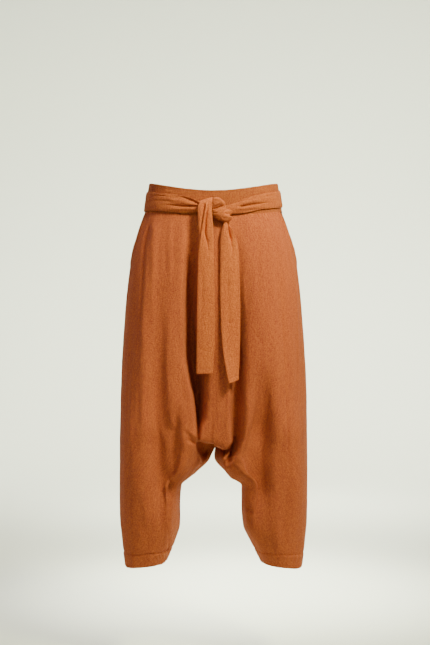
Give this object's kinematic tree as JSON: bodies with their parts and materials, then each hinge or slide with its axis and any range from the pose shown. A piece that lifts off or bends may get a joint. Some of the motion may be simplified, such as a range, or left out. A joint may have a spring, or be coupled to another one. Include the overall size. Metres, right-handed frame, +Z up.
{
  "type": "harem pants with a tie sash",
  "caption": "Hollow drop-crotch harem trousers with full thighs, narrow cropped hems, slant side pockets, a curved waistband and a sash knotted at the front.",
  "frame": {"origin": "the middle of the waist, where the wearer's waist holds the garment", "axes": "+Z up; the front faces -Y; the wearer's right side lies at -X"},
  "size_m": [0.4208, 0.2688, 0.8575],
  "materials": {
    "front_right_cloth": "matt woven cloth",
    "front_right_leg_cloth": "matt woven cloth",
    "front_left_cloth": "matt woven cloth",
    "front_left_leg_cloth": "matt woven cloth",
    "back_right_cloth": "matt woven cloth",
    "back_right_leg_cloth": "matt woven cloth",
    "back_left_cloth": "matt woven cloth",
    "back_left_leg_cloth": "matt woven cloth",
    "waistband_front_cloth": "matt woven cloth",
    "waistband_back_cloth": "matt woven cloth",
    "hip_piece_right_cloth": "matt woven cloth",
    "hip_piece_left_cloth": "matt woven cloth",
    "sash_right_cloth": "matt woven cloth",
    "sash_left_cloth": "matt woven cloth",
    "sash_back_cloth": "matt woven cloth",
    "knot_upper_lobe_cloth": "matt woven cloth",
    "knot_lower_lobe_cloth": "matt woven cloth",
    "tail_right_cloth": "matt woven cloth",
    "tail_left_cloth": "matt woven cloth"
  },
  "bodies": {
    "root": {"front_right": "front_right_cloth", "front_right_leg": "front_right_leg_cloth", "front_left": "front_left_cloth", "front_left_leg": "front_left_leg_cloth", "back_right": "back_right_cloth", "back_right_leg": "back_right_leg_cloth", "back_left": "back_left_cloth", "back_left_leg": "back_left_leg_cloth", "waistband_front": "waistband_front_cloth", "waistband_back": "waistband_back_cloth", "hip_piece_right": "hip_piece_right_cloth", "hip_piece_left": "hip_piece_left_cloth", "sash_right": "sash_right_cloth", "sash_left": "sash_left_cloth", "sash_back": "sash_back_cloth", "knot_upper_lobe": "knot_upper_lobe_cloth", "knot_lower_lobe": "knot_lower_lobe_cloth", "tail_right": "tail_right_cloth", "tail_left": "tail_left_cloth"}
  },
  "joints": []
}
